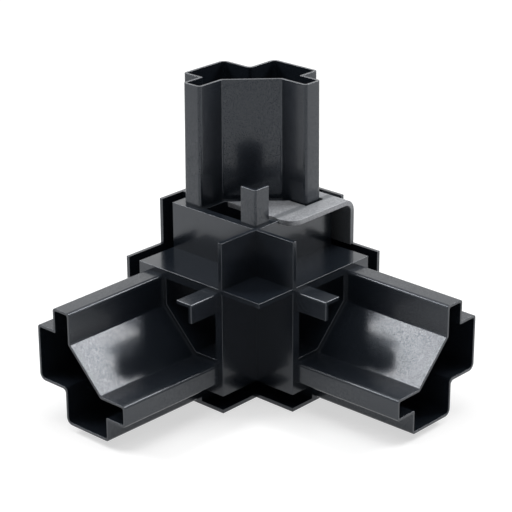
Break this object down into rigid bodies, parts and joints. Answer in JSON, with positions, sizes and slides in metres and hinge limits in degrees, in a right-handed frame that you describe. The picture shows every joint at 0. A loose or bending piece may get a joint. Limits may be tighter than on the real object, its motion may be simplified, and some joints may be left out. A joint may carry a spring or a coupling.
{
  "type": "three-way corner connector for square frame profiles",
  "caption": "Moulded three-way frame corner with hollow plug-in arms along X, Y and Z, stepped outer plates, inner fins and a forked steel angle beside the upright arm.",
  "frame": {"origin": "outer corner, where the three outer faces meet", "axes": "+X, +Y and +Z each run along one arm, away from the outer corner; the part rests on its outer face at z = 0"},
  "size_m": [0.1395, 0.1395, 0.1395],
  "materials": {
    "corner_moulding": "satin black glass-filled nylon with a fine grain",
    "steel_angle": "dull zinc-plated steel"
  },
  "bodies": {
    "root": {"corner_moulding": "corner_moulding", "steel_angle": "steel_angle"}
  },
  "joints": []
}
